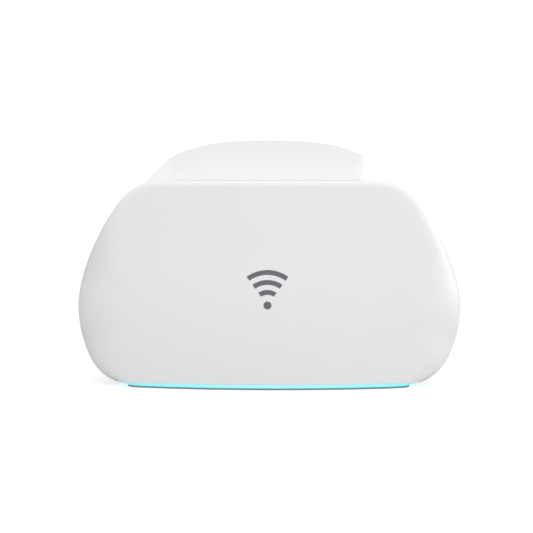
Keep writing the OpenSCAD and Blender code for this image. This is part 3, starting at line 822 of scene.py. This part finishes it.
place(build_cover(), "front_cover")
place(build_housing(), "rear_housing")
place(build_vents(), "vent_panel")
place(build_ports(), "port_plate")
place(build_light(), "light_guide")
place(build_foot(), "foot_pad")
place(build_emblem(), "emblem")

# Width of each piece's rounded edges
EDGE = {
    "base_plate": 0.3, "main_board": 0.1, "led_board": 0.1, "status_leds": 0.12,
    "processor_shield": 0.2, "radio_shields": 0.2, "thermal_pad": 0.15, "heat_sink": 0.2,
    "board_chips": 0.1, "power_capacitors": 0.4, "power_inductors": 0.3, "lan_transformers": 0.25,
    "wan_jack": 0.2, "lan_jacks": 0.2, "wan_contacts": 0.06, "lan_contacts": 0.06,
    "jack_leds": 0.12, "dc_jack": 0.25, "dc_contacts": 0.06, "power_switch": 0.2,
    "power_plunger": 0.2, "power_button": 0.3, "pair_switch": 0.15, "pair_plunger": 0.15,
    "pair_button": 0.3, "reset_switch": 0.15, "reset_plunger": 0.15, "antenna_frame": 0.3,
    "rf_connectors": 0.12, "cover_screws": 0.12, "board_screws": 0.12, "frame_screws": 0.12}
for n in (1, 2, 3, 4):
    EDGE[f"antenna_{n}"] = 0.08
for node, width in EDGE.items():
    place(refined(node, width), node)
for n in (1, 2, 3, 4):
    o = refined(f"antenna_cable_{n}", 0.01, 1, 80)
    o.modifiers.clear()
    s = o.modifiers.new("round", "SUBSURF")
    s.levels = s.render_levels = 1
    place(o, f"antenna_cable_{n}")


# ---------------------------------------------------------------- floor, light and camera

def build_floor():
    """Pale paper, overexposed to the camera as in a product picture, with soft contact shadows."""
    bm = bmesh.new()
    bmesh.ops.create_grid(bm, x_segments=8, y_segments=8, size=6000)
    o = mesh("floor", bm)
    o.location.z = -0.0001
    m, nodes, links, s = material("floor")
    paper = vary(nodes, links, noise(nodes, links, 200).outputs["Fac"], (0.48,) * 3, (0.5,) * 3)
    links.new(paper, s.inputs["Base Color"])
    s.inputs["Roughness"].default_value = 0.9
    s.inputs["Specular IOR Level"].default_value = 0
    s.inputs["Emission Color"].default_value = (1, 1, 1, 1)
    path = nodes.new("ShaderNodeLightPath")
    glow = nodes.new("ShaderNodeMath")
    glow.operation = "MULTIPLY_ADD"
    glow.inputs[1].default_value = 0.57
    glow.inputs[2].default_value = 0.1
    links.new(path.outputs["Is Camera Ray"], glow.inputs[0])
    links.new(glow.outputs["Value"], s.inputs["Emission Strength"])
    o.data.materials.append(m)


# Broad soft glows that light the studio: the direction each comes from, and its strength
GLOWS = [
    ((0, -0.7, 0.7), 1.54), ((0, 0, 1), 0.95), ((0, 0.7, 0.7), 0.5),
    ((0, -1, 0.05), 0.66), ((-0.7, -0.7, 0.2), 0.5), ((0.7, -0.7, 0.2), 0.9),
    ((-1, 0, 0.3), 0.6), ((1, 0, 0.3), 0.65), ((0, 1, 0.1), 0.55)]


def build_world():
    """The glows light the scene; the camera itself sees plain white behind the object."""
    world = bpy.data.worlds.new("studio")
    scene.world = world
    world.use_nodes = True
    nodes, links = world.node_tree.nodes, world.node_tree.links
    nodes.clear()

    def math_node(operation, first, second):
        n = nodes.new("ShaderNodeMath")
        n.operation = operation
        for socket, value in zip(n.inputs, (first, second)):
            if isinstance(value, (int, float)):
                socket.default_value = value
            else:
                links.new(value, socket)
        return n.outputs["Value"]

    toward = nodes.new("ShaderNodeTexCoord").outputs["Generated"]
    total = 0
    for direction, strength in GLOWS:
        dot = nodes.new("ShaderNodeVectorMath")
        dot.operation = "DOT_PRODUCT"
        dot.inputs[1].default_value = Vector(direction).normalized()
        links.new(toward, dot.inputs[0])
        lobe = math_node("POWER", math_node("MAXIMUM", dot.outputs["Value"], 0), 4)
        total = math_node("ADD", math_node("MULTIPLY", lobe, strength), total)
    path = nodes.new("ShaderNodeLightPath")
    lit = nodes.new("ShaderNodeBackground")
    links.new(total, lit.inputs["Strength"])
    seen = nodes.new("ShaderNodeBackground")
    seen.inputs["Color"].default_value = (1, 1, 1, 1)
    seen.inputs["Strength"].default_value = 1.05
    switch = nodes.new("ShaderNodeMixShader")
    links.new(path.outputs["Is Camera Ray"], switch.inputs["Fac"])
    links.new(lit.outputs["Background"], switch.inputs[1])
    links.new(seen.outputs["Background"], switch.inputs[2])
    out = nodes.new("ShaderNodeOutputWorld")
    links.new(switch.outputs["Shader"], out.inputs["Surface"])


def area_light(name, position, target, size, power, spread):
    """A square light at position, facing target, both in metres."""
    data = bpy.data.lights.new(name, "AREA")
    data.shape = "RECTANGLE"
    data.size = data.size_y = size
    data.energy = power
    data.spread = math.radians(spread)
    o = bpy.data.objects.new(name, data)
    o.location = position
    o.rotation_euler = (Vector(target) - Vector(position)).to_track_quat("-Z", "Y").to_euler()
    scene.collection.objects.link(o)


def build_camera():
    """Eye level with the ledge, four body widths away, a little right of the middle."""
    distance = 4 * 2 * half_w
    side, pitch = math.radians(1.2), math.radians(3.07)
    off_middle = 0.0014      # the object stands a little off the picture's middle
    data = bpy.data.cameras.new("camera")
    data.sensor_width = 36
    data.lens = 36 * 3
    cam = bpy.data.objects.new("camera", data)
    eye = Vector((distance * math.tan(side), face_y - distance, ledge_h)) * MM
    cam.location = eye
    turn = math.atan2(eye.x + off_middle, -eye.y)
    cam.rotation_euler = (math.radians(90) - pitch, 0, turn)
    scene.collection.objects.link(cam)
    scene.camera = cam


# A soft box behind the right-hand side, and a narrow light on each flank of the dome:
# name, position, target, size, power and spread
AREA_LIGHTS = [
    ("side_right", (0.9, 0.35, 0.25), (0.06, 0, 0.08), 0.5, 2.5, 180),
    ("flank_right", (0.26, -0.012, 0.12), (0.058, -0.002, 0.115), 0.04, 0.0018, 20),
    ("flank_left", (-0.26, -0.012, 0.12), (-0.058, -0.002, 0.115), 0.04, 0.0012, 20)]

build_floor()
build_world()
build_camera()
for light in AREA_LIGHTS:
    area_light(*light)
scene.view_settings.view_transform = "Standard"
scene.view_settings.look = "None"
